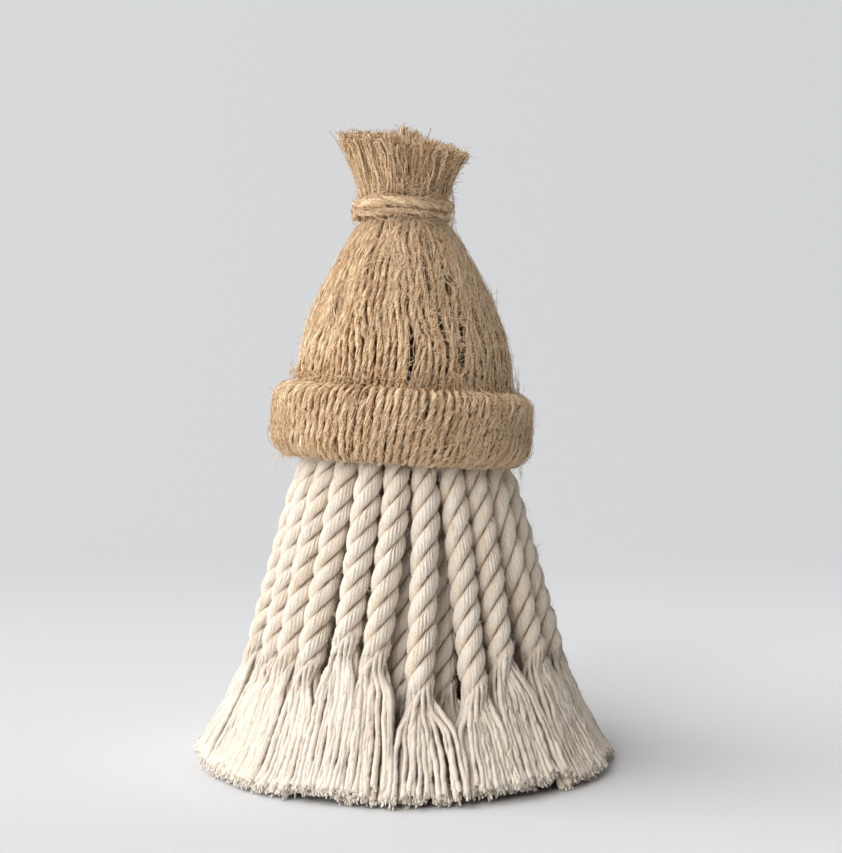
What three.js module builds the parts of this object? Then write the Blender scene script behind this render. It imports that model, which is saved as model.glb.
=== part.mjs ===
// Fabric gnome ornament: a hat of looped jute twine on a skirt of twisted cotton cords.
// The cords hang in two layers round a card cone that stands on a round board.
// Their lower ends are unravelled into a fringe, and their tops are bound and sit inside the hat.
// The twine of the hat is looped over a card ring, which makes the brim, then gathered and tied.
// Millimetres, +Z up. The origin is the middle of the board's underside, on the table.
import * as THREE from 'three';

// Fit between pieces that touch
const clearance = 0.3;

// Board and cone
const boardRadius = 38.5;
const boardThickness = 2.5;
const boardEdgeRound = 0.8;
const coneFootRadius = 29;
const coneTopRadius = 7;
const coneHeight = 77;
const coneWall = 1.5;

// Cotton cords, cut off inside the hat. They bend in where they pass under its brim.
const cordDiameter = 6;
const cordTopAboveCone = 4.2;
const cordTuck = 0.6;
const cordBendBelowBrim = 5.1;

// Fringe of loose yarn at the foot of the cords. The inner layer ends over the board,
// and the outer layer hangs outside its edge.
const innerFringeThickness = 3.6;
const outerFringeThickness = 4.6;
const innerFringeInset = 2;
const innerFringeLift = 2.6;
const outerFringeOverhang = 1.6;
const outerTipZ = 4.2;
const yarnEndLength = 1.6;

// Twine that binds the tops of the outer cords
const bindingTwine = 1.4;
const bindingTurns = 2.25;
const bindingBelowCordTop = 7;

// Hat: brim of loops over a card ring, then crown, neck and tuft
const hatOverlap = 17.9;
const hatTilt = THREE.MathUtils.degToRad(3.4);
const brimHeight = 16.8;
const brimCornerRound = 5;
const ringWall = 0.8;
const loopInside = 1.6;
const loopOutside = 2.1;
const crownHeight = 35.7;
const crownThickness = 2.5;
const neckRadius = 8.5;
const neckShoulder = 1.8;
const neckBore = 1.6;
const tuftHeight = 13.2;
const tuftTopRadius = 14.3;
const tuftCutSlope = 0.18;
const strandRidge = 0.45;

// Twine that ties the neck of the hat
const tieTwine = 1.6;
const tieTurns = 1.75;

// Gap that a winding keeps between its own turns
const turnGap = 0.45;

// Counts
const outerCordCount = 23;
const innerCordCount = 16;
const strandBundles = 14;
const strandsPerBundle = 3;
const roundSegments = 64;

// Each cord leans sideways on its way down, by this share of the spacing between cords.
// The first half of each list runs from the left of the front to the right of it.
const outerLean = [
  0.27, 0.5, 0.2, -0.1, -0.19, -0.46, -0.38, -0.13, -0.3, -0.05, 0.11, 0.15,
  -0.12, 0.1, -0.18, 0.1, -0.05, 0.2, -0.08, 0.05, -0.15, 0.12, 0.05,
];
const innerLean = [
  0.1, -0.05, -0.1, -0.05, -0.22, -0.38, -0.2, 0, 0.15, 0, -0.1, 0.1, -0.05, 0.1, -0.1, 0.05,
];
const firstOuterAngle = THREE.MathUtils.degToRad(-82.3);
const firstInnerAngle = THREE.MathUtils.degToRad(-87);

// Height above the table at which each cord stops being twisted and turns into loose yarn
const outerUnravel = [
  25.5, 25, 26, 25, 31, 28, 21, 21, 26, 26, 25, 24, 27, 23, 28, 25, 22, 27, 24, 26, 23, 28, 25,
];
const innerUnravel = [21, 20, 19, 20, 18, 20, 21, 19, 20, 21, 19, 20, 21, 20, 19, 21];

// Heights that follow from the sizes above
const coneFootZ = boardThickness + clearance;
const innerTipZ = coneFootZ + innerFringeLift;
const coneTopZ = coneFootZ + coneHeight;
const cordTopZ = coneTopZ + cordTopAboveCone;
const bindingZ = cordTopZ - bindingBelowCordTop;
const brimBottomZ = cordTopZ - hatOverlap;
const brimTopZ = brimBottomZ + brimHeight;
const brimMiddleZ = brimBottomZ + brimHeight / 2;
const cordTuckZ = brimBottomZ + clearance;
const cordBendZ = brimBottomZ - cordBendBelowBrim;
const crownTopZ = brimTopZ + crownHeight;
const tiePitch = tieTwine + turnGap;
const tieHeight = tieTurns * tiePitch + tieTwine;
const neckTopZ = crownTopZ + tieHeight + 2 * clearance;
const tuftTopZ = neckTopZ + tuftHeight;

const cottonMaterial = new THREE.MeshStandardMaterial({ color: '#ece4d6', roughness: 0.95, metalness: 0 });
const juteMaterial = new THREE.MeshStandardMaterial({ color: '#c3a077', roughness: 0.9, metalness: 0 });
const cardMaterial = new THREE.MeshStandardMaterial({ color: '#8a6544', roughness: 0.95, metalness: 0 });
const boardMaterial = new THREE.MeshStandardMaterial({ color: '#624a35', roughness: 0.85, metalness: 0 });
const fibreMaterial = new THREE.MeshStandardMaterial({ color: '#7d6244', roughness: 1, metalness: 0 });

const { clamp, degToRad, lerp, smoothstep } = THREE.MathUtils;

function namedMesh(name, geometry, material) {
  const mesh = new THREE.Mesh(geometry, material);
  mesh.name = name;
  return mesh;
}

function twoDigits(index) {
  return String(index + 1).padStart(2, '0');
}

// Angle 0 is the front, and angles grow towards the right
function pointAt(radius, angle, z) {
  return new THREE.Vector3(radius * Math.sin(angle), -radius * Math.cos(angle), z);
}

// A closed profile of [radius, height] points turned round the Z axis
function revolve(profile) {
  const points = profile.map(([radius, height]) => new THREE.Vector2(radius, height));
  return new THREE.LatheGeometry(points, roundSegments).rotateX(Math.PI / 2);
}

function arc(centreRadius, centreZ, radius, fromDegrees, toDegrees, steps) {
  return Array.from({ length: steps + 1 }, (_, i) => {
    const angle = degToRad(lerp(fromDegrees, toDegrees, i / steps));
    return [centreRadius + radius * Math.cos(angle), centreZ + radius * Math.sin(angle)];
  });
}

// Board and cone

function makeBoard() {
  const flatRadius = boardRadius - boardEdgeRound;
  const geometry = revolve([
    [0, 0],
    ...arc(flatRadius, boardEdgeRound, boardEdgeRound, -90, 0, 2),
    ...arc(flatRadius, boardThickness - boardEdgeRound, boardEdgeRound, 0, 90, 2),
    [0, boardThickness],
  ]);
  return namedMesh('base_board', geometry, boardMaterial);
}

function makeCone() {
  const geometry = revolve([
    [coneFootRadius - coneWall, coneFootZ],
    [coneFootRadius, coneFootZ],
    [coneTopRadius, coneTopZ],
    [coneTopRadius - coneWall, coneTopZ],
    [coneFootRadius - coneWall, coneFootZ],
  ]);
  return namedMesh('card_cone', geometry, cardMaterial);
}

// Cords. The inner layer lies on the cone, and the outer layer on the inner one.

const cordRadius = cordDiameter / 2;
const coneSlope = (coneFootRadius - coneTopRadius) / coneHeight;
const coneLean = Math.hypot(1, coneSlope);

// Inside the binding the cords run straight up
function innerCentreAt(z) {
  const coneRadius = coneFootRadius - (Math.min(z, bindingZ) - coneFootZ) * coneSlope;
  return coneRadius + (clearance + cordRadius) * coneLean;
}

function outerCentreAt(z) {
  const onInnerLayer = innerCentreAt(z) + (cordDiameter + clearance) * coneLean;
  return onInnerLayer - cordTuck * clamp((z - cordBendZ) / (cordTuckZ - cordBendZ), 0, 1);
}

const innerLayer = {
  name: 'inner_cord',
  count: innerCordCount,
  firstAngle: firstInnerAngle,
  lean: innerLean,
  unravel: innerUnravel,
  centreAt: innerCentreAt,
  tipRadius: boardRadius - innerFringeInset,
  tipZ: innerTipZ,
  tipThickness: innerFringeThickness,
  upperStations: [cordTopZ, bindingZ],
  sides: 8,
};

const outerLayer = {
  name: 'outer_cord',
  count: outerCordCount,
  firstAngle: firstOuterAngle,
  lean: outerLean,
  unravel: outerUnravel,
  centreAt: outerCentreAt,
  tipRadius: boardRadius + outerFringeOverhang + outerFringeThickness / 2,
  tipZ: outerTipZ,
  tipThickness: outerFringeThickness,
  upperStations: [cordTopZ, bindingZ, cordTuckZ, cordBendZ],
  sides: 12,
};

// Angle of a cord at a height. The layer is evenly spaced above the bend, and its cords lean below it.
function angleOf(layer, index, z) {
  const spacing = (2 * Math.PI) / layer.count;
  const wrapped = (index + layer.count) % layer.count;
  const lean = layer.lean[wrapped % layer.lean.length] * spacing;
  const meanUnravel = layer.unravel.reduce((sum, height) => sum + height) / layer.unravel.length;
  const share = clamp((cordBendZ - z) / (cordBendZ - meanUnravel), 0, 1);
  return layer.firstAngle + index * spacing + lean * share;
}

// Width on the left (side -1) or right (side 1) that a cord can take before it meets its neighbour
function roomBeside(layer, index, side, z, radius) {
  const halfGap = Math.abs(angleOf(layer, index + side, z) - angleOf(layer, index, z)) / 2;
  return radius * halfGap - clearance / 2;
}

// Cords squeeze each other where their layer is narrow
function squeezedRadius(layer, index, z) {
  const radius = layer.centreAt(z);
  const left = roomBeside(layer, index, -1, z, radius);
  const right = roomBeside(layer, index, 1, z, radius);
  return Math.min(cordRadius, left, right);
}

function twistedStation(layer, index, z) {
  const half = squeezedRadius(layer, index, z);
  const outward = new THREE.Vector2(2, layer.centreAt(z - 1) - layer.centreAt(z + 1)).normalize();
  return { radius: layer.centreAt(z), z, outward, left: half, right: half, depth: half, ridge: 0, ends: 0 };
}

// The yarn spreads sideways until it meets the yarn of the next cords, and sweeps outwards to its tips
const fringeShares = [0.25, 0.6, 1];
const yarnRidge = 0.16;

function fringeStation(layer, index, from, share) {
  const z = lerp(from.z, layer.tipZ, share);
  const sweep = 0.6 * share + 0.4 * share * share;
  const radius = lerp(from.radius, layer.tipRadius, sweep);
  const steepness = (from.z - layer.tipZ) / (layer.tipRadius - from.radius);
  const tipRoom = (side) => roomBeside(layer, index, side, z, layer.tipRadius);
  const spread = (side, start) =>
    Math.min(lerp(start, tipRoom(side), share), roomBeside(layer, index, side, z, radius));
  return {
    radius,
    z,
    outward: new THREE.Vector2(steepness, 0.6 + 0.8 * share).normalize(),
    left: spread(-1, from.left),
    right: spread(1, from.right),
    depth: lerp(from.depth, layer.tipThickness / 2, share),
    ridge: yarnRidge,
    ends: share === 1 ? yarnEndLength : 0,
  };
}

// One ring of points across a cord. In the fringe every second point is a ridge of yarn, with a longer end.
function sectionRing(layer, angle, station) {
  const { radius, z, outward, left, right, depth, ridge, ends } = station;
  return Array.from({ length: layer.sides }, (_, i) => {
    const turn = (2 * Math.PI * (i + 0.5)) / layer.sides;
    const isRidge = i % 2 === 0;
    const size = isRidge ? 1 : 1 - ridge;
    const across = size * Math.cos(turn) * (Math.cos(turn) < 0 ? left : right);
    const out = size * Math.sin(turn) * depth;
    const along = isRidge ? ends : 0;
    const ringRadius = radius + out * outward.x + along * outward.y;
    return pointAt(ringRadius, angle + across / radius, z + out * outward.y - along * outward.x);
  });
}

// Skins rings of equal length and closes both ends on a middle point
function loft(rings, firstMiddle, lastMiddle) {
  const sides = rings[0].length;
  const first = rings.length * sides;
  const last = first + 1;
  const lastRing = first - sides;
  const faces = [];
  for (let ring = 0; ring < lastRing; ring += sides) {
    for (let i = 0; i < sides; i += 1) {
      const a = ring + i;
      const b = ring + ((i + 1) % sides);
      faces.push(a, b, a + sides, b, b + sides, a + sides);
    }
  }
  for (let i = 0; i < sides; i += 1) {
    const next = (i + 1) % sides;
    faces.push(first, next, i);
    faces.push(last, lastRing + i, lastRing + next);
  }
  const points = [...rings.flat(), firstMiddle, lastMiddle];
  return new THREE.BufferGeometry().setFromPoints(points).setIndex(faces);
}

function makeCord(layer, index) {
  const unravelZ = layer.unravel[index % layer.unravel.length];
  const middleZ = (cordBendZ + unravelZ) / 2;
  const twisted = [...layer.upperStations, middleZ, unravelZ].map((z) => twistedStation(layer, index, z));
  const fringe = fringeShares.map((share) => fringeStation(layer, index, twisted.at(-1), share));
  const stations = [...twisted, ...fringe];
  const rings = stations.map((s) => sectionRing(layer, angleOf(layer, index, s.z), s));
  const middleOf = (s) => pointAt(s.radius, angleOf(layer, index, s.z), s.z);
  const geometry = loft(rings, middleOf(stations[0]), middleOf(stations.at(-1)));
  return namedMesh(`${layer.name}_${twoDigits(index)}`, geometry, cottonMaterial);
}

function makeCordLayer(layer) {
  const group = new THREE.Group();
  for (let index = 0; index < layer.count; index += 1) group.add(makeCord(layer, index));
  return group;
}

// Windings of twine, each one unbroken tube

const stepsPerTurn = 24;
const twineSides = 6;

class Winding extends THREE.Curve {
  constructor(radiusAt, middleZ, turns, pitch) {
    super();
    Object.assign(this, { radiusAt, middleZ, turns, pitch });
  }

  getPoint(t, target = new THREE.Vector3()) {
    const z = this.middleZ + (t - 0.5) * this.turns * this.pitch;
    return target.copy(pointAt(this.radiusAt(z), t * this.turns * 2 * Math.PI, z));
  }
}

// Least gap between turns that lie side by side, measured between points along the twine
function leastGap(path, diameter) {
  const perTurn = 4 * stepsPerTurn;
  const points = path.getPoints(Math.round(path.turns * perTurn));
  let least = Infinity;
  points.forEach((point, i) => {
    for (const other of points.slice(i + perTurn / 2)) least = Math.min(least, point.distanceTo(other));
  });
  return least - diameter;
}

function windTwine(name, diameter, radiusAt, middleZ, turns) {
  const section = new THREE.Shape(
    Array.from({ length: twineSides }, (_, i) => {
      const angle = (2 * Math.PI * i) / twineSides;
      return new THREE.Vector2(Math.cos(angle), Math.sin(angle)).multiplyScalar(diameter / 2);
    }),
  );
  const path = new Winding(radiusAt, middleZ, turns, diameter + turnGap);
  console.log(`${name}: least gap between its turns ${leastGap(path, diameter).toFixed(2)} mm`);
  const steps = Math.round(turns * stepsPerTurn);
  return namedMesh(name, new THREE.ExtrudeGeometry(section, { steps, extrudePath: path }), juteMaterial);
}

function makeBinding() {
  const radiusAt = (z) => {
    const reach = squeezedRadius(outerLayer, 0, z) + clearance + bindingTwine / 2;
    return outerCentreAt(z) + reach * coneLean;
  };
  return windTwine('cord_binding', bindingTwine, radiusAt, bindingZ, bindingTurns);
}

function makeTie() {
  const radiusAt = () => neckRadius + clearance + tieTwine / 2;
  const middleZ = crownTopZ + clearance + tieHeight / 2;
  return windTwine('neck_tie', tieTwine, radiusAt, middleZ, tieTurns);
}

// Hat. The brim clears the cords that pass into it, also where its tilt brings it closer,
// and the ring and the loops build out from there.

const cordsOutsideRadius = outerCentreAt(cordTuckZ) + squeezedRadius(outerLayer, 0, cordTuckZ);
const brimInsideRadius = cordsOutsideRadius + clearance + (brimHeight / 2) * Math.sin(hatTilt);
const ringInsideRadius = brimInsideRadius + loopInside + clearance;
const ringOutsideRadius = ringInsideRadius + ringWall;
const brimOutsideRadius = ringOutsideRadius + clearance + loopOutside;
const ringBottomZ = brimBottomZ + loopOutside + clearance;
const ringTopZ = brimTopZ - loopOutside - clearance;
const crownRadius = brimInsideRadius + loopInside / 4;
const crownFootRise = 0.6;

// The hat sits askew: the brim is turned about its middle, and the turn dies out up the crown
function askew(point) {
  const share = 1 - smoothstep(point.z, brimTopZ + 1, brimTopZ + crownHeight * 0.6);
  const middle = new THREE.Vector3(0, 0, brimMiddleZ);
  return point.sub(middle).applyAxisAngle(new THREE.Vector3(0, 1, 0), hatTilt * share).add(middle);
}

function makeRing() {
  const geometry = revolve([
    [ringInsideRadius, ringBottomZ - brimMiddleZ],
    [ringOutsideRadius, ringBottomZ - brimMiddleZ],
    [ringOutsideRadius, ringTopZ - brimMiddleZ],
    [ringInsideRadius, ringTopZ - brimMiddleZ],
    [ringInsideRadius, ringBottomZ - brimMiddleZ],
  ]);
  const ring = namedMesh('brim_ring', geometry, cardMaterial);
  ring.position.z = brimMiddleZ;
  ring.rotation.y = hatTilt;
  return ring;
}

// Outside and inside of the crown, from the brim at share 0 to the tied neck at share 1
function crownOutsideAt(share) {
  const shoulderRadius = neckRadius + neckShoulder;
  return shoulderRadius + (crownRadius - shoulderRadius) * (1 - share ** 1.9) ** 1.2;
}

function crownInsideAt(share) {
  const gathered = 4 * share * share;
  return Math.max(crownOutsideAt(share) - crownThickness - gathered, neckBore);
}

function tuftOutsideAt(share) {
  const waistRadius = neckRadius + neckShoulder / 2;
  return waistRadius + (tuftTopRadius - waistRadius) * share ** 1.35;
}

function crownZAt(share) {
  return brimTopZ + share * crownHeight;
}

// The line round a bundle of twine, in the plane through the axis. It runs down the tuft, neck and crown,
// round the slot that holds the card ring, over the brim and up inside. Rows that show have strand ridges.
function bundleOutline() {
  const tuftShares = [1, 0.5, 0];
  const crownShares = [1, 0.84, 0.67, 0.5, 0.34, 0.17];
  const insideShares = [0.03, 0.34, 0.67, 0.9];
  const cornerRadius = brimOutsideRadius - brimCornerRound;
  const outside = [
    ...tuftShares.map((share) => [tuftOutsideAt(share), neckTopZ + share * tuftHeight]),
    [neckRadius, neckTopZ],
    [neckRadius, crownTopZ],
    ...crownShares.map((share) => [crownOutsideAt(share), crownZAt(share)]),
    [crownRadius, brimTopZ + crownFootRise],
  ];
  const slot = [
    [ringInsideRadius - clearance, ringTopZ],
    [ringInsideRadius - clearance, ringBottomZ - clearance],
    [ringOutsideRadius + clearance, ringBottomZ - clearance],
    [ringOutsideRadius + clearance, ringTopZ + clearance],
    [ringInsideRadius, ringTopZ + clearance],
    [crownRadius + clearance, brimTopZ + crownFootRise - clearance],
  ];
  const brim = [
    ...arc(cornerRadius, brimTopZ - brimCornerRound, brimCornerRound, 80, 5, 3),
    ...arc(cornerRadius, brimBottomZ + brimCornerRound, brimCornerRound, -5, -80, 3),
  ];
  const inside = [
    [brimInsideRadius + loopInside / 3, brimBottomZ + loopOutside / 2],
    [brimInsideRadius, brimBottomZ + loopOutside],
    [brimInsideRadius, ringTopZ - loopOutside],
    ...insideShares.map((share) => [crownInsideAt(share), crownZAt(share)]),
    [neckBore, crownTopZ],
    [neckBore, tuftTopZ],
  ];
  const rows = (points, shown) => points.map(([radius, z]) => ({ radius, z, shown }));
  return [...rows(outside, true), ...rows(slot, false), ...rows(brim, true), ...rows(inside, false)];
}

// Unit vector out of the outline at one of its rows
function outwardAt(outline, i) {
  const before = outline.at(i - 1);
  const after = outline[(i + 1) % outline.length];
  return new THREE.Vector2(before.z - after.z, after.radius - before.radius).normalize();
}

// One bundle fills its sector of the hat, but for a clearance to the bundles beside it
function makeBundle(index) {
  const outline = bundleOutline();
  const rows = outline.length;
  const columns = 2 * strandsPerBundle;
  const sector = (2 * Math.PI) / strandBundles;
  const points = [];
  const faces = [];
  for (let column = 0; column <= columns; column += 1) {
    const across = (2 * column) / columns - 1;
    const isGroove = column % 2 === 0;
    outline.forEach((row, i) => {
      const outward = outwardAt(outline, i);
      const dip = row.shown && isGroove ? strandRidge : 0;
      const radius = row.radius - outward.x * dip;
      const halfWidth = sector / 2 - Math.asin(clearance / 2 / radius);
      const point = pointAt(radius, index * sector + across * halfWidth, row.z - outward.y * dip);
      if (row.z === tuftTopZ) point.z -= tuftCutSlope * point.x;
      points.push(askew(point));
    });
  }
  for (let column = 0; column < columns; column += 1) {
    for (let i = 0; i < rows; i += 1) {
      const a = column * rows + i;
      const b = column * rows + ((i + 1) % rows);
      faces.push(a, b, a + rows, b, b + rows, a + rows);
    }
  }
  const flat = outline.map((row) => new THREE.Vector2(row.radius, row.z));
  const last = columns * rows;
  for (const [a, b, c] of THREE.ShapeUtils.triangulateShape(flat, [])) {
    faces.push(a, b, c, last + a, last + c, last + b);
  }
  const geometry = new THREE.BufferGeometry().setFromPoints(points).setIndex(faces);
  return namedMesh(`hat_strands_${twoDigits(index)}`, geometry, juteMaterial);
}

// Loose fibre inside the crown. It rests on the tops of the cords and keeps the crown round.
function makeFilling() {
  const footRadius = outerCentreAt(cordTopZ) + squeezedRadius(outerLayer, 0, cordTopZ);
  const footZ = cordTopZ + clearance + footRadius * Math.sin(hatTilt);
  const sideShares = [0.12, 0.34, 0.67, 0.84];
  const side = sideShares.map((share) => [crownInsideAt(share) - 2 * clearance, crownZAt(share)]);
  const geometry = revolve([[0, footZ], [footRadius, footZ], ...side, [0, crownZAt(0.88)]]);
  const place = geometry.getAttribute('position');
  for (let i = 0; i < place.count; i += 1) {
    const point = askew(new THREE.Vector3().fromBufferAttribute(place, i));
    place.setXYZ(i, point.x, point.y, point.z);
  }
  return namedMesh('crown_filling', geometry, fibreMaterial);
}

function makeHat() {
  const hat = new THREE.Group();
  hat.add(makeRing());
  for (let index = 0; index < strandBundles; index += 1) hat.add(makeBundle(index));
  hat.add(makeFilling());
  hat.add(makeTie());
  return hat;
}

const gnome = new THREE.Group();
gnome.add(makeBoard());
gnome.add(makeCone());
gnome.add(makeCordLayer(innerLayer));
gnome.add(makeCordLayer(outerLayer));
gnome.add(makeBinding());
gnome.add(makeHat());

export default gnome;
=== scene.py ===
import math
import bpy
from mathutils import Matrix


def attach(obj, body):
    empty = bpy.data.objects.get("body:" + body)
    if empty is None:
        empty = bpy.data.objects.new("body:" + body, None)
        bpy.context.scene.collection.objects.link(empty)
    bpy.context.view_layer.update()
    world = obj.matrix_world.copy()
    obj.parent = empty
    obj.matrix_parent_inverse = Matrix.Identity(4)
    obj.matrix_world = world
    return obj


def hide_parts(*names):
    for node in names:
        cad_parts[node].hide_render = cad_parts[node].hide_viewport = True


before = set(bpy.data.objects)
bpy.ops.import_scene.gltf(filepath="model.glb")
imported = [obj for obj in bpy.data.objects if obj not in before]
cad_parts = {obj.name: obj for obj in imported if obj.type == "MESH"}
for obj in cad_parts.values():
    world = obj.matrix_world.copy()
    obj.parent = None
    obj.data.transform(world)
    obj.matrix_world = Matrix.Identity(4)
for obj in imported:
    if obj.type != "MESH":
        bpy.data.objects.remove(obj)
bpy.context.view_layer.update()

from types import SimpleNamespace

import bpy
import numpy as np

# Base board
# A round disc of dark brown pressed fibreboard, 77 mm across and 2.5 mm thick, with a plain cut edge.
# It stands on the table, the card cone is glued to its middle, and its edge shows under the fringe.


def linear(code):
    """A hex sRGB colour as linear RGBA."""
    parts = [int(code[i : i + 2], 16) / 255 for i in (1, 3, 5)]
    return tuple(c / 12.92 if c <= 0.04045 else ((c + 0.055) / 1.055) ** 2.4 for c in parts) + (1,)


def add(tree, kind, inputs=(), stops=(), **settings):
    """Adds one shader node, with its settings, its input values or links, and its colour stops."""
    made = tree.nodes.new(kind)
    for name, value in settings.items():
        setattr(made, name, value)
    for name, value in dict(inputs).items():
        if isinstance(value, bpy.types.NodeSocket):
            tree.links.new(value, made.inputs[name])
        else:
            made.inputs[name].default_value = value
    for i, (position, code) in enumerate(stops):
        stop = made.color_ramp.elements[i] if i < 2 else made.color_ramp.elements.new(position)
        stop.position = position
        stop.color = linear(code)
    return made


def new_material(name):
    """An empty material, and the tree for its nodes."""
    made = bpy.data.materials.new(name)
    made.use_nodes = True
    made.node_tree.nodes.clear()
    return made, made.node_tree


def dress(node_name, material):
    """Gives a CAD node that stays in the scene its finished material."""
    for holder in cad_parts[node_name].material_slots:
        holder.link = "OBJECT"
        holder.material = material


# Pressed fibre gives the eye a dull brown with flecks about 1 mm across, gathered in clouds of about 6 mm
board_material, tree = new_material("brown_fibreboard")
place = add(tree, "ShaderNodeTexCoord").outputs["Object"]
flecks = add(tree, "ShaderNodeTexNoise", {"Vector": place, "Scale": 900.0, "Detail": 4.0, "Roughness": 0.7})
clouds = add(tree, "ShaderNodeTexNoise", {"Vector": place, "Scale": 160.0, "Detail": 2.0})
both = add(
    tree,
    "ShaderNodeMath",
    {0: flecks.outputs["Fac"], 1: clouds.outputs["Fac"]},
    operation="MULTIPLY",
)
tone = add(
    tree,
    "ShaderNodeValToRGB",
    {"Fac": both.outputs[0]},
    [(0.12, "#3a2a1c"), (0.42, "#7a5f45"), (0.26, "#5a4430")],
)
grain = add(tree, "ShaderNodeBump", {"Height": flecks.outputs["Fac"], "Strength": 0.5, "Distance": 0.0002})
shader = add(
    tree,
    "ShaderNodeBsdfPrincipled",
    {"Base Color": tone.outputs["Color"], "Roughness": 0.85, "Normal": grain.outputs["Normal"]},
)
add(tree, "ShaderNodeOutputMaterial", {"Surface": shader.outputs[0]})
dress("base_board", board_material)

# Card cone
# A cone rolled from 1.5 mm brown kraft card, glued to the board by its foot.
# The inner cords lie on it, and it shows only in a few gaps between them at the sides and the back.

# Kraft card gives the eye a dull warm brown, mottled every 1.4 mm or so by the paler fibres pressed into it
card_material, tree = new_material("kraft_card")
place = add(tree, "ShaderNodeTexCoord").outputs["Object"]
fibres = add(
    tree,
    "ShaderNodeTexNoise",
    {"Vector": place, "Scale": 700.0, "Detail": 5.0, "Roughness": 0.65, "Distortion": 1.5},
)
tone = add(
    tree,
    "ShaderNodeValToRGB",
    {"Fac": fibres.outputs["Fac"]},
    [(0.3, "#6e5036"), (0.72, "#a3805c"), (0.5, "#8a6748")],
)
grain = add(tree, "ShaderNodeBump", {"Height": fibres.outputs["Fac"], "Strength": 0.4, "Distance": 0.0001})
shader = add(
    tree,
    "ShaderNodeBsdfPrincipled",
    {"Base Color": tone.outputs["Color"], "Roughness": 0.9, "Normal": grain.outputs["Normal"]},
)
add(tree, "ShaderNodeOutputMaterial", {"Surface": shader.outputs[0]})
dress("card_cone", card_material)

# Inner cords
# Sixteen lengths of 6 mm three-strand twisted cotton cord, laid side by side on the cone and glued to it.
# Their lower ends are unravelled into loose yarn that rests over the board.

# The cords, the twine and the hat are measured in mm and radians, and make_piece turns mm into metres
cord_radius = 3.0
clearance = 0.3
cone_foot_radius = 29.0
cone_foot_z = 2.8
cone_slope = 22.0 / 77.0
cone_lean = math.hypot(1, cone_slope)
binding_z = 77.0
cord_top_z = 84.0
cord_bend_z = 61.0
cord_lay = 16.0
table_gap = 0.1

# A strand's section lies beside the cord's middle. It reaches out by strand_middle plus strand_swing at its
# crest and spans strand_spread to each side. Its yarns lie inside it in the same way, and untwist turns
# them against the lay of the cord by so much for each mm.
untwist = 0.4
strand_middle = 1.52
strand_swing = 1.48
strand_spread = 1.03
yarn_middle = 1.42
yarn_swing = 1.0
yarn_spread = 0.85

# The rib of one yarn on a strand: a groove and two ridge points, as shares of the strand's reach
yarn_rib = [-0.07, 0.015, 0.015]

# The fan of loose yarns: how far its outer layers lie from its middle at its root and its tips, and how far
# it may reach past its half of the gap to the next fan
fan_root_depth = 1.9
fan_tip_depth = 1.2
fan_overlap = 0.9
yarn_radius = 0.6
ends_per_yarn = 7


def smooth(low, high, value):
    """0 below low, 1 above high, and an even change between them."""
    t = np.clip((value - low) / (high - low), 0, 1)
    return t * t * (3 - 2 * t)


def unit(vectors):
    """The same directions, each 1 long."""
    return vectors / np.linalg.norm(vectors, axis=-1, keepdims=True)


def around(radius, angle, z):
    """Points round the Z axis. Angle 0 is the front, and angles grow towards the right."""
    radius, angle, z = np.broadcast_arrays(radius, angle, z)
    return np.stack([radius * np.sin(angle), -radius * np.cos(angle), z], -1)


def side_frame(points, side):
    """Two directions across a path: u along the wanted side, and v so that u x v points along the path."""
    along = unit(np.gradient(points, axis=0))
    u = unit(side - (side * along).sum(-1, keepdims=True) * along)
    return u, np.cross(along, u)


def length_along(points):
    """How far along the path each of its points lies."""
    steps = np.linalg.norm(np.diff(points, axis=0), axis=1)
    return np.concatenate([[0], np.cumsum(steps)])


def wander(count, step, wave, size, rng):
    """A smooth random drift, of about that wave length and size in mm, at points a step apart."""
    knots = max(4, int(count * step / wave) + 4)
    values = rng.normal(0, size, knots)
    place = np.arange(count) * step / wave + rng.uniform(0, 1)
    i = np.minimum(place.astype(int), knots - 2)
    t = place - i
    t = t * t * (3 - 2 * t)
    return values[i] * (1 - t) + values[i + 1] * t


def tube(points, u, v, across, out, fibre, tint, shade=0.0):
    """One tube round a path. across and out hold each ring's places along u and v.

    fibre is each point's place in its own yarn. tint lightens or darkens the material there, and shade
    darkens it as painted shade, or lightens it as painted light where it is below 0.
    """
    rings, sides = across.shape
    verts = points[:, None] + across[..., None] * u[:, None] + out[..., None] * v[:, None]
    i, j = np.meshgrid(np.arange(rings - 1), np.arange(sides), indexing="ij")
    k = (j + 1) % sides
    quads = np.stack([i * sides + j, i * sides + k, (i + 1) * sides + k, (i + 1) * sides + j], -1)
    full = np.ones(rings * sides)
    shades = np.broadcast_to(shade, across.shape).reshape(-1) * full
    return verts.reshape(-1, 3), quads.reshape(-1, 4), fibre.reshape(-1, 3), tint * full, shades


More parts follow.
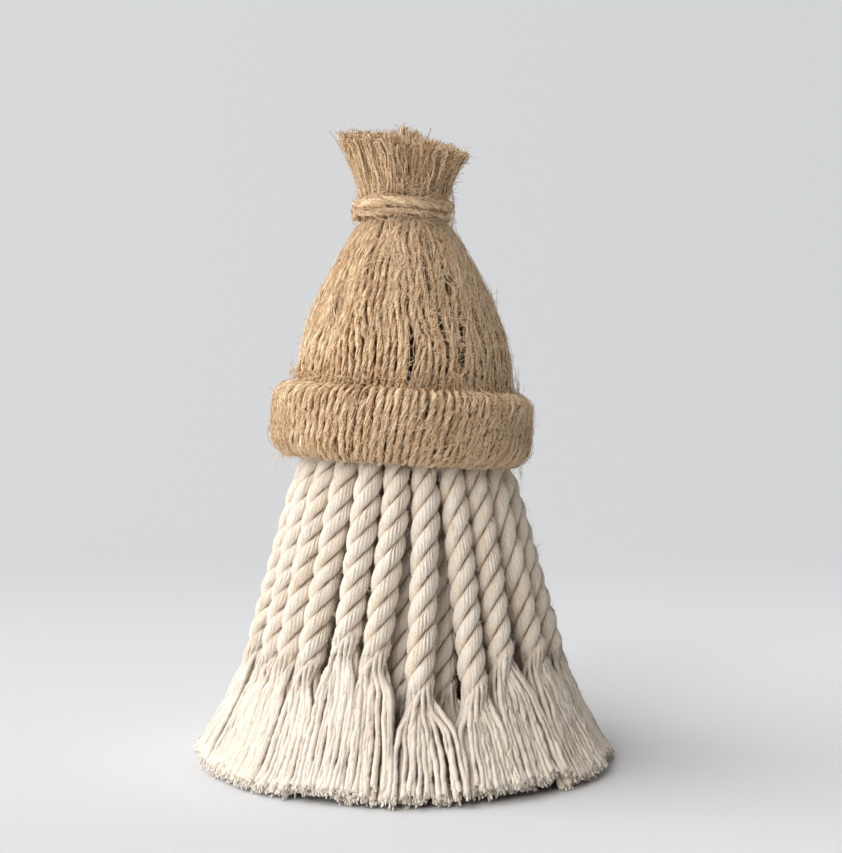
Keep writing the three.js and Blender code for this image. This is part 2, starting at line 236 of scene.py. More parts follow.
def round_tube(points, side, radius, sides, tint, rng, twist=0.0, shade=0.0, ragged=0.0, oval=0.0):
    """A yarn or bundle of fibre round a path, uneven in section. Its far end is blunt and may be ragged."""
    points = points.copy()
    points[-1] = 0.7 * points[-2] + 0.3 * points[-1]
    u, v = side_frame(points, side)
    s = length_along(points)
    base = np.arange(sides) * 2 * np.pi / sides + rng.uniform(0, 6.3)
    turn = base[None] + twist * s[:, None]
    uneven = 1 + rng.uniform(-0.1, 0.1, sides) + oval * np.cos(2 * (base - base[0]))
    size = np.broadcast_to(radius, s.shape)[:, None] * uneven
    size = size * np.where(np.arange(len(s)) == 0, 0.05, 1)[:, None]
    size[-1] *= 0.05
    across = size * np.cos(turn)
    out = size * np.sin(turn)
    mean = float(np.mean(radius))
    fibre = np.stack(
        [
            np.broadcast_to(mean * np.cos(base), turn.shape),
            np.broadcast_to(mean * np.sin(base), turn.shape),
            np.broadcast_to(s[:, None], turn.shape),
        ],
        -1,
    )
    fibre = fibre + rng.uniform(-400, 400, 3)
    made = tube(points, u, v, across, out, fibre, tint, shade)
    if ragged:
        along = unit(np.gradient(points, axis=0))[-2]
        reach = rng.uniform(-ragged, ragged, sides)
        made[0][-2 * sides : -sides] += reach[:, None] * along
    return made


def hair(start, heading, curl, length, radius, rng, tint, inside=None, hold=9.0):
    """A thin curved fibre. It is kept from sinking into a round surface, and within a hold of it."""
    count = max(3, int(length / 0.9))
    step = length / count
    heading = heading / np.linalg.norm(heading)
    points = [start]
    for _ in range(count):
        heading = heading + curl * step
        heading = heading / np.linalg.norm(heading)
        nxt = points[-1] + heading * step
        if inside is not None:
            away = np.hypot(nxt[0], nxt[1])
            least = inside(nxt[2]) + 0.1
            nxt[:2] *= np.clip(away, least, least + hold) / away
        points.append(nxt)
    points = np.array(points)
    side = np.cross(heading, [0.31, 0.52, 0.79])
    size = radius * np.linspace(1, 0.55, len(points))
    return round_tube(points, side, size, 3, tint, rng)


def make_piece(name, parts, material, nodes):
    """Joins tubes, in mm, into one mesh in metres that rides on the part and stands for its CAD nodes."""
    starts = np.cumsum([0] + [len(p[0]) for p in parts])[:-1]
    verts = np.concatenate([p[0] for p in parts]) / 1000
    quads = np.concatenate([p[1] + start for p, start in zip(parts, starts)])
    mesh = bpy.data.meshes.new(name)
    mesh.vertices.add(len(verts))
    mesh.vertices.foreach_set("co", verts.ravel())
    mesh.loops.add(quads.size)
    mesh.loops.foreach_set("vertex_index", quads.ravel().astype(np.int32))
    mesh.polygons.add(len(quads))
    mesh.polygons.foreach_set("loop_start", np.arange(0, quads.size, 4, dtype=np.int32))
    mesh.update(calc_edges=True)
    mesh.shade_smooth()
    fibre = mesh.attributes.new("fibre", "FLOAT_VECTOR", "POINT")
    fibre.data.foreach_set("vector", np.concatenate([p[2] for p in parts]).ravel())
    for key, index in (("tint", 3), ("shade", 4)):
        layer = mesh.attributes.new(key, "FLOAT", "POINT")
        layer.data.foreach_set("value", np.concatenate([p[index] for p in parts]))
    mesh.materials.append(material)
    piece = bpy.data.objects.new(name, mesh)
    bpy.context.scene.collection.objects.link(piece)
    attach(piece, "root")
    if nodes:
        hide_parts(*nodes)
    return piece


def inner_centre(z):
    """How far from the axis the middle of an inner cord lies at a height."""
    cone = cone_foot_radius - (np.minimum(z, binding_z) - cone_foot_z) * cone_slope
    return cone + (clearance + cord_radius) * cone_lean


# One layer of cords. lean is how far each one leans at its foot, as a share of their spacing, and unravel is
# the height where its twist ends. The fringe ends at tip_radius and tip_z. ribs is how many yarns show on a
# strand, lint how many fibres stand off a cord, and step the distance between the rings of the meshes.
inner_layer = {
    "first": math.radians(-87),
    "lean": [0.1, -0.05, -0.1, -0.05, -0.22, -0.38, -0.2, 0, 0.15, 0, -0.1, 0.1, -0.05, 0.1, -0.1, 0.05],
    "unravel": [21, 20, 19, 20, 18, 20, 21, 19, 20, 21, 19, 20, 21, 20, 19, 21],
    "centre": inner_centre,
    "tip_radius": 36.5,
    "tip_z": 4.4,
    "yarn_layers": 2,
    "yarns_per_strand": 8,
    "yarn_sides": 6,
    "step": 0.7,
    "ribs": 14,
    "lint": 40,
    # Painted light: the inner cords are lightened against the shade that the outer cords cast on them.
    "tint": 1.5,
}


def cord_angle(layer, index, z):
    """Where a cord is round the axis at a height. Below the bend under the brim it leans to one side."""
    count = len(layer["lean"])
    spacing = 2 * np.pi / count
    lean = layer["lean"][index % count] * spacing
    mean = sum(layer["unravel"]) / count
    return layer["first"] + index * spacing + lean * np.clip((cord_bend_z - z) / (cord_bend_z - mean), 0, 1)


def room(layer, index, side, z, radius):
    """How far a cord may reach to one side, -1 or 1, before it meets the next cord."""
    gap = np.abs(cord_angle(layer, index + side, z) - cord_angle(layer, index, z))
    return radius * gap / 2 - clearance / 2


def cord_line(layer, index):
    """A cord's middle line at even steps, down to just past its cut end, and what lies along it."""
    unravel_z = layer["unravel"][index]
    start_radius = float(layer["centre"](unravel_z))
    rise = np.linspace(cord_top_z, unravel_z, 240)
    share = np.linspace(0, 1.1, 90)[1:]
    sweep = 0.6 * share + 0.4 * share**2
    z = np.concatenate([rise, unravel_z + (layer["tip_z"] - unravel_z) * share])
    fringe_radius = start_radius + (layer["tip_radius"] - start_radius) * sweep
    radius = np.concatenate([layer["centre"](rise), fringe_radius])
    path = around(radius, cord_angle(layer, index, z), z)
    s = length_along(path)
    even = np.arange(0, s[-1], layer["step"])
    path = np.stack([np.interp(even, s, path[:, k]) for k in range(3)], 1)
    z = path[:, 2]
    radius = np.hypot(path[:, 0], path[:, 1])
    angle = np.arctan2(path[:, 0], -path[:, 1])
    along = unit(np.gradient(path, axis=0))
    outward = around(1.0, angle, 0.0)
    outward = unit(outward - (outward * along).sum(-1, keepdims=True) * along)
    limits = [room(layer, index, side, z, radius) for side in (-1, 1)]
    return SimpleNamespace(
        path=path,
        s=even,
        angle=angle,
        along=along,
        outward=outward,
        aside=np.cross(outward, along),
        limits=limits,
        tip_limits=[room(layer, index, side, z, layer["tip_radius"]) for side in (-1, 1)],
        squeeze=np.minimum(cord_radius, np.minimum(*limits)) / cord_radius,
        unravel_s=float(np.interp(-unravel_z, -z, even)),
        tip_s=float(np.interp(-layer["tip_z"], -z, even)),
    )


def cord_strand(layer, line, turn, rng):
    """One twisted strand, ribbed by its yarns and wedged between the other two, and the yarns' places."""
    count, step, s = len(line.s), layer["step"], line.s
    ribs = np.tile(yarn_rib, layer["ribs"])
    sides = len(ribs)
    base = np.arange(sides) * 2 * np.pi / sides
    rho = np.cos(turn)[:, None] * line.aside + np.sin(turn)[:, None] * line.outward
    tau = -np.sin(turn)[:, None] * line.aside + np.cos(turn)[:, None] * line.outward
    taper = 1 - 0.85 * smooth(line.unravel_s - 2.0, line.unravel_s + 5.0, s)
    swell = line.squeeze * taper * (1 + wander(count, step, 9, 0.02, rng))
    swell[0] *= 0.05
    section = base[None] - untwist * s[:, None]
    depth = np.stack([1 + wander(count, step, 7, 0.4, rng) for _ in range(sides // 3)], 1)
    edge = 1 + 4.0 * (1 - smooth(0.1, 0.75, np.cos(section)))
    shape = 1 + ribs * np.repeat(depth, 3, axis=1) * edge + rng.normal(0, 0.008, (count, sides))
    reach = swell[:, None] * (strand_middle + strand_swing * np.cos(section)) * shape
    spread = strand_spread * np.sin(section)
    fibre = np.stack(np.broadcast_arrays(1.5 * np.cos(base), 1.5 * np.sin(base), s[:, None]), -1)
    # Painted shade: the grooves between the strands, and between the yarns of a strand, are darkened.
    groove_shade = np.maximum(1 - smooth(1.75, 2.6, reach / np.maximum(swell[:, None], 0.4)), 0.3 * (ribs < 0))
    groove_shade = groove_shade * (1 + wander(count, step, 1.5, 0.5, rng))[:, None]
    tint = layer["tint"] + rng.uniform(-1, 1)
    fibre = fibre + rng.uniform(-400, 400, 3)
    kept = slice(0, int(np.searchsorted(s, line.unravel_s + 6)))
    across, out = (reach * np.cos(spread))[kept], (reach * np.sin(spread))[kept]
    made = tube(line.path[kept], rho[kept], tau[kept], across, out, fibre[kept], tint, groove_shade[kept])
    yarns = []
    for yarn in range(layer["yarns_per_strand"]):
        spin = (yarn + 0.5) * 2 * np.pi / layer["yarns_per_strand"] - untwist * s
        away = (yarn_middle + yarn_swing * np.cos(spin)) * line.squeeze
        way = turn + yarn_spread * np.sin(spin)
        yarns.append((away * np.cos(way), away * np.sin(way), tint))
    return made, yarns


def fan_places(layer, yarns, at, rng):
    """Where each yarn goes as the cord opens: its place across the fan and its layer, both from -1 to 1."""
    layers = layer["yarn_layers"]
    columns = len(yarns) // layers
    order = sorted(range(len(yarns)), key=lambda k: yarns[k][0][at])
    locks = rng.uniform(0, 6.3)
    fan = {}
    for column in range(columns):
        stack = sorted(order[column * layers : (column + 1) * layers], key=lambda k: yarns[k][1][at])
        for level, k in enumerate(stack):
            level -= (layers - 1) / 2
            place = (column + 0.5 + 0.35 * level) / columns * 2 - 1
            place += 0.025 * math.sin(9 * place + locks) + rng.normal(0, 0.05)
            fan[k] = (place, level / max(1, (layers - 1) / 2))
    return fan


def loose_yarn(layer, line, yarn, fan_place, cut, rng):
    """One yarn from inside the cord to its frayed end. It leaves the twist for its place in the fan."""
    x, y, tint = yarn
    place, level = fan_place
    count, step, s = len(line.s), layer["step"], line.s
    side = 0 if place < 0 else 1
    here = np.clip((s - line.unravel_s) / (line.tip_s - line.unravel_s), 0, 1.1)
    open_room = np.maximum(line.tip_limits[side], cord_radius) - cord_radius
    spread = cord_radius + 1.08 * open_room * here**0.6
    spread = np.minimum(spread, line.limits[side] + fan_overlap)
    open_x = place * spread
    open_y = level * (fan_root_depth + (fan_tip_depth - fan_root_depth) * here)
    weight = smooth(0, 10, s - line.unravel_s + 1.0)
    loose = smooth(0, 9, s - line.unravel_s)
    wave = 0.12 * loose * np.sin(2 * np.pi * s / rng.uniform(8, 15) + rng.uniform(0, 6.3))
    wave += loose * (wander(count, step, 5, 0.15, rng) + wander(count, step, 1.6, 0.07, rng))
    px = x + (open_x - x) * weight + wave
    py = y + (open_y - y) * weight + loose * wander(count, step, 6, 0.16, rng)
    end_s = line.tip_s + cut + rng.normal(0, 0.35) + 1.1 * abs(math.sin(line.angle[-1]))
    begin = int(np.searchsorted(s, line.unravel_s - 5.0))
    kept = slice(begin, min(int(np.searchsorted(s, end_s)), count - 1))
    path = line.path[kept] + px[kept, None] * line.aside[kept] + py[kept, None] * line.outward[kept]
    s = s[kept]
    size = 0.4 + 0.5 * smooth(line.unravel_s - 5, line.unravel_s - 1, s) + 0.1 * loose[kept]
    size = yarn_radius * size * (1 + wander(len(s), step, 4, 0.06, rng))
    size = size * (1 + 0.3 * smooth(end_s - 4, end_s - 0.5, s))
    # Painted light: the loose yarns are lightened, and their last few mm most of all.
    shade = -(0.1 * loose[kept] + 0.1 * smooth(end_s - 7, end_s - 1, s))[:, None]
    tint = tint + rng.uniform(-0.8, 0.8)
    look = dict(twist=1.6, shade=shade, ragged=0.3, oval=0.04)
    parts = [round_tube(path, line.aside[kept], size, layer["yarn_sides"], tint, rng, **look)]
    way = unit(path[-1] - path[-4])
    for _ in range(ends_per_yarn):
        root = path[-1] - 1.0 * way + rng.normal(0, 0.32, 3)
        heading = unit(way + rng.normal(0, 0.2, 3))
        frayed = root + np.linspace(0, rng.uniform(0.8, 1.9), 4)[:, None] * heading
        size = rng.uniform(0.13, 0.26)
        # Painted light lightens the frayed ends still more.
        parts.append(round_tube(frayed, np.array([0.9, 0.3, 0.3]), size, 4, 0.6, rng, shade=-0.5, ragged=0.1))
    return parts


def cord_fuzz(layer, line, strands, rng):
    """Short fibres that stand off the strands. Near a groove they bend over it."""
    sides = 3 * layer["ribs"]
    last = len(strands[0][0]) // sides
    parts = []
    for _ in range(layer["lint"]):
        ring = int(rng.integers(3, last - 1))
        turned = rng.uniform(-1.4, 1.4)
        column = int(round((turned + untwist * line.s[ring]) / (2 * np.pi / sides))) % sides
        start = strands[int(rng.integers(0, 3))][0][ring * sides + column]
        proud = unit(start - line.path[ring])
        over = np.sign(turned) * smooth(0.5, 1.2, abs(turned)) * np.cross(line.along[ring], proud)
        heading = rng.uniform(0.1, 0.8) * proud + rng.choice([-1, 1]) * line.along[ring]
        heading = heading + rng.normal(0, 0.4, 3) + over
        size = (rng.uniform(0.7, 2.0), rng.uniform(0.045, 0.075), rng, rng.uniform(-2, 2.5))
        parts.append(hair(start - 0.05 * proud, heading, rng.normal(0, 0.35, 3), *size))
    return parts


def cord_mesh(layer, index, rng):
    """The tubes of one cord: three twisted strands, the loose yarns that they open into, and its fuzz."""
    line = cord_line(layer, index)
    turn = rng.uniform(0, 2 * np.pi) + wander(len(line.s), layer["step"], 25, 0.3, rng)
    turn = turn + 2 * np.pi * line.s / cord_lay
    strands = [cord_strand(layer, line, turn + strand * 2 * np.pi / 3, rng) for strand in range(3)]
    parts = [made for made, _ in strands]
    yarns = [yarn for _, held in strands for yarn in held]
    fan = fan_places(layer, yarns, int(np.searchsorted(line.s, line.unravel_s + 1.5)), rng)
    cuts = rng.normal(-0.2, 0.45, 4) + rng.normal(0, 0.5)
    for k, yarn in enumerate(yarns):
        parts += loose_yarn(layer, line, yarn, fan[k], cuts[k % len(cuts)], rng)
    parts += cord_fuzz(layer, line, parts[:3], rng)
    for part in parts:
        part[0][:, 2] = np.maximum(part[0][:, 2], table_gap)
    return parts


def fibre_material(
    name, streak_scale, streak_roughness, cloud_scale, nap_inputs, weights, level, stops, bumps, finish
):
    """A material of spun fibre. Its streaks and clouds follow each yarn, and the nap lies over them all.

    The scales of the streaks and the clouds are per mm, across the yarn twice and then along it. weights says
    how much of the clouds, the tint, the painted shade and the nap is added to the streaks, and level moves
    the sum.
    bumps holds a strength and a depth, in metres, for the streaks and then for the nap.
    """
    made, tree = new_material(name)
    fibre = add(tree, "ShaderNodeAttribute", attribute_name="fibre").outputs["Vector"]
    tint = add(tree, "ShaderNodeAttribute", attribute_name="tint").outputs["Fac"]
    shade = add(tree, "ShaderNodeAttribute", attribute_name="shade").outputs["Fac"]
    fine = add(tree, "ShaderNodeMapping", {"Vector": fibre, "Scale": streak_scale}).outputs[0]
    inputs = {"Vector": fine, "Scale": 1.0, "Detail": 3.0, "Roughness": streak_roughness}
    streaks = add(tree, "ShaderNodeTexNoise", inputs).outputs["Fac"]
    wide = add(tree, "ShaderNodeMapping", {"Vector": fibre, "Scale": cloud_scale}).outputs[0]
    clouds = add(tree, "ShaderNodeTexNoise", {"Vector": wide, "Scale": 1.0, "Detail": 2.0}).outputs["Fac"]
    place = add(tree, "ShaderNodeTexCoord").outputs["Object"]
    nap = add(tree, "ShaderNodeTexNoise", {"Vector": place, **nap_inputs}).outputs["Fac"]
    value = streaks
    for part, weight in zip((clouds, tint, shade, nap), weights):
        inputs = {0: part, 1: weight, 2: value}
        value = add(tree, "ShaderNodeMath", inputs, operation="MULTIPLY_ADD").outputs[0]
    value = add(tree, "ShaderNodeMath", {0: value, 1: level}, operation="ADD").outputs[0]
    tone = add(tree, "ShaderNodeValToRGB", {"Fac": value}, stops)
    relief = {}
    for pattern, (strength, depth) in zip((streaks, nap), bumps):
        inputs = {"Height": pattern, "Strength": strength, "Distance": depth, **relief}
        relief = {"Normal": add(tree, "ShaderNodeBump", inputs).outputs["Normal"]}
    inputs = {"Base Color": tone.outputs["Color"], **finish, **relief}
    shader = add(tree, "ShaderNodeBsdfPrincipled", inputs)
    add(tree, "ShaderNodeOutputMaterial", {"Surface": shader.outputs[0]})
    return made


# Undyed cotton gives the eye a warm cream with lengthwise fibre streaks. Painted shade makes its grooves
# browner and duller, and painted light makes its loose yarn and frayed ends lighter.
# A cotton fibre is 0.02 mm thick, too fine to show, so the streaks are drawn 0.3 mm wide and 3 mm long,
# and the nap on them as soft specks of about 0.5 mm.
cotton_material = fibre_material(
    "undyed_cotton",
    streak_scale=(3.2, 3.2, 0.3),
    streak_roughness=0.7,
    cloud_scale=(0.5, 0.5, 0.12),
    nap_inputs={"Scale": 1900.0, "Detail": 2.0, "Distortion": 1.0},
    weights=(0.5, 0.05, -0.24, 0.7),
    level=-0.33,
    stops=[(0.3, "#ceac86"), (1.0, "#f0e9de"), (0.52, "#e7d5bd"), (0.72, "#ede1d0")],
    bumps=((1.0, 0.0001), (0.8, 0.00012)),
    finish={"Roughness": 0.92, "Specular IOR Level": 0.1, "Sheen Weight": 0.2, "Sheen Roughness": 0.5},
)

rng = np.random.default_rng(16)
for index in range(len(inner_layer["lean"])):
    made = cord_mesh(inner_layer, index, rng)
    number = f"{index + 1:02d}"
    make_piece(f"inner_rope_{number}", made, cotton_material, [f"inner_cord_{number}"])

# Outer cords
# Twenty-three lengths of the same cord lie over the inner ones, glued and bound at the top.
# They lean a little from side to side, and their loose yarn hangs outside the edge of the board.

cord_tuck = 0.6
cord_tuck_z = 66.4


def outer_centre(z):
    """How far from the axis the middle of an outer cord lies. Under the hat it is pulled in a little."""
    tucked = cord_tuck * np.clip((z - cord_bend_z) / (cord_tuck_z - cord_bend_z), 0, 1)
    return inner_centre(z) + (2 * cord_radius + clearance) * cone_lean - tucked


outer_layer = {
    "first": math.radians(-82.3),
    "lean": [
        0.27, 0.5, 0.2, -0.1, -0.19, -0.46, -0.38, -0.13, -0.3, -0.05, 0.11, 0.15,
        -0.12, 0.1, -0.18, 0.1, -0.05, 0.2, -0.08, 0.05, -0.15, 0.12, 0.05,
    ],
    "unravel": [25.5, 25, 26, 25, 31, 28, 21, 21, 26, 26, 25, 24, 27, 23, 28, 25, 22, 27, 24, 26, 23, 28, 25],
    "centre": outer_centre,
    "tip_radius": 44.0,
    "tip_z": 2.1,
    "yarn_layers": 3,
    "yarns_per_strand": 12,
    "yarn_sides": 6,
    "step": 0.6,
    "ribs": 24,
    "lint": 560,
    "tint": 0.0,
}

rng = np.random.default_rng(23)
for index in range(len(outer_layer["lean"])):
    made = cord_mesh(outer_layer, index, rng)
    number = f"{index + 1:02d}"
    make_piece(f"outer_rope_{number}", made, cotton_material, [f"outer_cord_{number}"])

# Cord binding
# Jute twine, 1.4 mm thick, pulled two and a quarter turns round the tops of the outer cords.
# The hat covers it.

binding_turns = 2.25
binding_pitch = 1.85
binding_twine_radius = 0.7
pressed_cord_radius = 2.2
up = np.array([0, 0, 1.0])

# How far a bundle of fibre lies from the twine's middle, how much the two plies change that, and its own
# radius, all as shares of the twine's radius
bundle_away = 0.56
bundle_sway = 0.16
bundle_radius = 0.39


def ridges_along(s, sides, wave, size, rng):
    """Uneven lengthwise ridges of a fibre bundle, one column for each side of its section."""
    return 1 + np.stack([wander(len(s), s[1], wave, size, rng) for _ in range(sides)], 1)


def twine(path, side, radius, pitch, tint, rng, shade=0.0, bundles=8, loose=0):
    """Two-ply twine: bundles of fibre almost straight along it, on an oval that turns with the plies.

    Loose fibres lie over its outer side, but not where it is shaded by other strands.
    """
    u, v = side_frame(path, side)
    s = length_along(path)
    radius = np.broadcast_to(radius, s.shape)
    turn = 2 * np.pi * s / pitch + rng.uniform(0, 6.3) + wander(len(s), 0.5, 9, 0.5, rng)
    base = np.arange(6) * np.pi / 3
    parts = []
    for bundle in range(bundles):
        way = bundle * 2 * np.pi / bundles + 0.5 * s + wander(len(s), 0.5, 4, 0.28, rng)
        oval = np.cos(2 * (way - turn))
        away = radius * (bundle_away + bundle_sway * oval + wander(len(s), 0.5, 2, 0.04, rng))
        size = radius * (bundle_radius + wander(len(s), 0.5, 3, 0.04, rng))
        size = size[:, None] * ridges_along(s, 6, 1.6, 0.12, rng)
        size[[0, -1]] *= 0.05
        section = base[None] + 0.5 * s[:, None]
        across = (away * np.cos(way))[:, None] + size * np.cos(section)
        out = (away * np.sin(way))[:, None] + size * np.sin(section)
        fibre = np.stack(np.broadcast_arrays(0.3 * np.cos(base), 0.3 * np.sin(base), s[:, None]), -1)
        # Painted shade darkens the fibre between the plies and at the sides of each strand, where it meets
        # the next.
        hollow_shade = 0.2 * (1 - smooth(-1.0, 0.2, oval)) + 0.5 * smooth(0.6, 1.0, np.abs(np.cos(way)))
        dark = np.maximum(shade, hollow_shade[:, None])
        fibre = fibre + rng.uniform(-400, 400, 3)
        parts.append(tube(path, u, v, across, out, fibre, tint + rng.uniform(-1.1, 0.9), dark))
    outward = path * np.array([1.0, 1.0, 0.0])
    proud = np.where((outward * v).sum(-1) > 0, 1.0, -1.0)[:, None] * v
    covered = np.broadcast_to(shade, (len(s), 1))[:, 0] > 0.05
    for _ in range(loose):
        first = int(rng.integers(0, max(1, len(s) - 12)))
        part = slice(first, first + int(rng.integers(6, 30)), 2)
        if covered[part].any():
            continue
        along = s[part] - s[first]
        aside = radius[first] * rng.normal(0, 0.5) + rng.normal(0, 0.3) * along
        aside = aside + wander(len(along), 1.0, 4, 0.3, rng)
        above = radius[first] + np.abs(wander(len(along), 1.0, 4, 0.2, rng))
        points = path[part] + aside[:, None] * u[part] + above[:, None] * proud[part]
        size = rng.uniform(0.04, 0.075)
        parts.append(round_tube(points, u[part], size, 3, tint + rng.uniform(-2, 1.6), rng))
    return parts


# Jute gives the eye golden straw fibres with a faint gloss. The browner, duller tone between the plies and
# between the strands is painted shade.
# A jute fibre is 0.05 to 0.1 mm thick. The streaks are drawn 0.14 mm wide and 3 mm long, and the nap as
# specks of about 0.5 mm, which is coarser than the real fuzz, so that they show.
jute_material = fibre_material(
    "natural_jute",
    streak_scale=(7.0, 7.0, 0.35),
    streak_roughness=0.65,
    cloud_scale=(0.8, 0.8, 0.1),
    nap_inputs={"Scale": 2000.0, "Detail": 2.5, "Distortion": 1.5},
    weights=(0.5, 0.07, -0.5, 1.3),
    level=-0.61,
    stops=[(0.3, "#4a2f1a"), (0.95, "#fbe8ca"), (0.5, "#b88b5e"), (0.7, "#e8c89d")],
    bumps=((1.0, 0.0001), (1.0, 0.00012)),
    finish={"Roughness": 0.8, "Specular IOR Level": 0.2, "Sheen Weight": 0.1, "Sheen Roughness": 0.4},
)

rng = np.random.default_rng(5)
binding_share = np.linspace(0, 1, 640)
binding_height = binding_z + (binding_share - 0.5) * binding_turns * binding_pitch
binding_away = (pressed_cord_radius + clearance + binding_twine_radius) * cone_lean
binding_radius = outer_centre(binding_height) + binding_away
path = around(binding_radius, binding_share * binding_turns * 2 * np.pi, binding_height)
binding = twine(path, up, binding_twine_radius, 4.5, 0.0, rng, bundles=4)
make_piece("binding_twine", binding, jute_material, ["cord_binding"])

# Brim ring
# A ring of 0.8 mm kraft card inside the brim. The twine of the hat is looped over it,
# and it tilts with the brim.
dress("brim_ring", card_material)

# Hat strands
# Ninety-eight strands of 1.8 mm two-ply jute twine. Each one starts at the top of the brim, loops down
# over the ring, under it and up inside, and runs up the crown and through the neck into the cut tuft.

hat_tilt = math.radians(3.4)
brim_bottom_z = 66.1
brim_top_z = 82.9
brim_middle_z = 74.5
crown_height = 35.7
crown_radius = 24.02
crown_foot_z = 83.2
crown_top_radius = 10.3
neck_radius = 8.6
neck_z = 121.5
neck_top_z = 124.39
tuft_top_z = 137.59
tuft_foot_radius = 10.0
tuft_flare = 4.5
tuft_cut_slope = 0.12
tuft_front_slope = 0.14
bands = 14
strands_per_band = 7
strand_count = bands * strands_per_band
strand_radius = 0.9
strand_spacing = 1.58
brim_half_height = 8.4
outer_rank = 0.45
locks_outside = 20
locks_inside = 9
thick_locks = 8

# Middle radius, middle height and radius of the arcs that the twine makes over and under the ring
top_arc = (24.5, 78.55, 3.3)
foot_arc = (23.72, 71.1, 4.05)
inside_run_radius = 24.42


def askew(points):
    """Tilts the brim about its middle, a little to the left of the axis. Both die out up the crown."""
    share = 1 - smooth(brim_top_z + 1, brim_top_z + 0.6 * crown_height, points[..., 2])
    c, s = np.cos(hat_tilt * share), np.sin(hat_tilt * share)
    x, z = points[..., 0] - 0.5 * share, points[..., 2] - brim_middle_z
    return np.stack([x * c + z * s, points[..., 1], z * c - x * s + brim_middle_z], -1)


def hat_outside(z):
    """Outside radius of the crown, the tied neck and the tuft."""
    rise = np.clip((z - brim_top_z) / crown_height, 0, 1)
    crown = crown_top_radius + (crown_radius - crown_top_radius) * (1 - rise**1.9) ** 1.2
    pinch = np.interp(z, [115, 117.5, 119.4, 121.4, 123.4, 124.6], [0, 0.25, 0.95, 1, 0.95, 0])
    above = np.clip((z - neck_top_z) / (tuft_top_z - neck_top_z), 0, 1.3)
    tuft = tuft_foot_radius + tuft_flare * above**1.3
    outside = np.where(z < neck_z, crown, tuft)
    return outside + (neck_radius - outside) * pinch


def neck_depth(z, rank):
    """How deep a strand lies, by its rank from 0, on the surface, to 1. A narrower crown shows fewer."""
    outer = hat_outside(z) - strand_radius
    shown = 2 * np.pi * outer / strand_spacing
    excess = np.maximum(0, rank * strand_count - shown)
    left = np.maximum(outer**2 - excess * 2.25 / np.pi, 1.2)
    return outer - np.sqrt(left)


# Middle angle in degrees, middle height, half length and width of the openings between the crown's strands
openings = [
    (4.5, 88, 10, 1.2), (9, 95, 5, 0.9), (21.5, 91, 9, 1.4), (33.5, 86, 14, 2.5), (36.5, 101.5, 8, 1.6),
    (33.5, 107.5, 6, 1.0), (18.5, 103, 7, 1.2), (18.8, 110, 4, 0.8), (27, 97, 7, 1.0), (-23, 93, 6, 0.6),
    (25, 113, 5, 0.8), (48, 93, 9, 1.2), (-46, 100, 7, 0.5), (58, 103, 6, 1.0), (66, 94, 8, 1.2),
    (95, 92, 8, 0.7), (128, 97, 8, 0.6), (150, 90, 7, 0.6), (176, 94, 7, 0.6), (-160, 91, 8, 0.7),
    (-128, 95, 9, 0.6), (-104, 91, 7, 0.7), (-76, 100, 8, 0.5),
]


def part_strands(angle, z):
    """The sideways shift, in mm, of a strand that makes way for the openings beside it."""
    shift = np.zeros_like(z)
    radius = hat_outside(z)
    for degrees, middle, reach, width in openings:
        apart = (angle - math.radians(degrees) + np.pi) % (2 * np.pi) - np.pi
        beside = apart * radius
        window = np.clip(1 - ((z - middle) / reach) ** 2, 0, 1)
        shift += np.sign(beside) * width / 2 * np.exp(-np.abs(beside) / 2.0) * window
    return shift


def looseness(angle):
    """How loosely the strands lie, 0 to 1. They are loosest at the right of the front."""
    return math.exp(-(((angle - 0.9 + np.pi) % (2 * np.pi) - np.pi) / 0.7) ** 2)


def strand_path(angle, turns, rank, rng):
    """One strand's centre line, from the top of the brim round the ring and up to the cut end."""
    over = np.radians(np.linspace(112, 0, 14))
    under = np.radians(np.linspace(0, -78, 12))
    proud = rng.normal(0, 0.07)
    top, foot = top_arc[2] + proud, foot_arc[2] + proud
    inside_r = [inside_run_radius, inside_run_radius, 24.3]
    loop_r = np.concatenate([top_arc[0] + top * np.cos(over), foot_arc[0] + foot * np.cos(under), inside_r])
    inside_z = [69.2, 78.5, 81.0]
    loop_z = np.concatenate([top_arc[1] + top * np.sin(over), foot_arc[1] + foot * np.sin(under), inside_z])
    rise = np.linspace(crown_foot_z, tuft_top_z + rng.normal(0, 0.35), 150)
    outer = hat_outside(rise) - strand_radius
    at_neck = hat_outside(neck_z) - strand_radius
    kept = (at_neck - neck_depth(neck_z, rank)) / at_neck
    radius = np.where(rise < neck_z, outer - neck_depth(np.minimum(rise, neck_z), rank), outer * kept)
    r = np.concatenate([loop_r, radius])
    z = np.concatenate([loop_z, rise])
    slant = 0.5 + 2.3 * looseness(angle) + rng.normal(0, 0.12)
    brim_lean = slant * (loop_z[:26] - brim_middle_z) / brim_half_height
    lean = np.concatenate([brim_lean, [-slant * 0.8, -slant * 0.2, 0], 0 * rise])
    s = np.concatenate([[0], np.cumsum(np.hypot(np.diff(r), np.diff(z)))])
    even = np.concatenate([np.arange(0, 31, 0.5), np.arange(31, 43, 1.5), np.arange(43, s[-1], 0.5)])
    r, z, lean = (np.interp(even, s, values) for values in (r, z, lean))
    on_crown = smooth(31, 44, even)
    turn = angle + (np.interp(z, levels, turns) - angle) * on_crown
    stray = 0.35 + (0.65 + 0.6 * looseness(angle)) * on_crown
    drift = wander(len(z), 0.5, 9, 0.2, rng) * stray + wander(len(z), 0.5, 4, 0.05, rng)
    shift = lean + drift + part_strands(turn, z) * on_crown * (z < neck_z)
    turn = turn + shift / np.maximum(r, 4)
    r = r + wander(len(z), 0.5, 7, 0.14, rng)
    return r, turn, z


